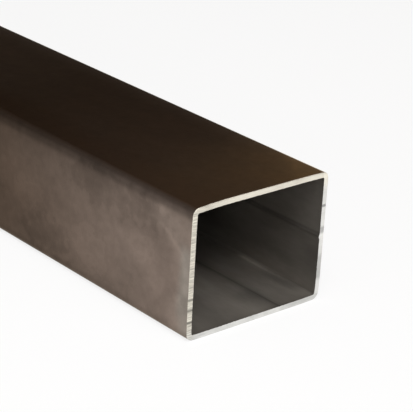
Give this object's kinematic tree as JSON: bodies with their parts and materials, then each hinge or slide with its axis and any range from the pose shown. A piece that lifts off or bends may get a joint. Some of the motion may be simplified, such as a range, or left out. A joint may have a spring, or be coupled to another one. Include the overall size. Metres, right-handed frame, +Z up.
{
  "type": "rectangular steel tube",
  "caption": "Straight rectangular steel tube with rolled corners and open sawn ends, for cutting, welding or bolting into frames; brown-grey mill scale outside, bright bare metal at the cuts.",
  "frame": {"origin": "on the floor under the middle of the tube", "axes": "+X along the tube towards the sawn end that the picture shows, +Y towards the side wall with the weld seam, +Z up from the wide face it lies on"},
  "size_m": [0.5, 0.05, 0.04],
  "materials": {
    "mill_scale_steel": "satin"
  },
  "bodies": {
    "root": {"tube": "mill_scale_steel"}
  },
  "joints": []
}
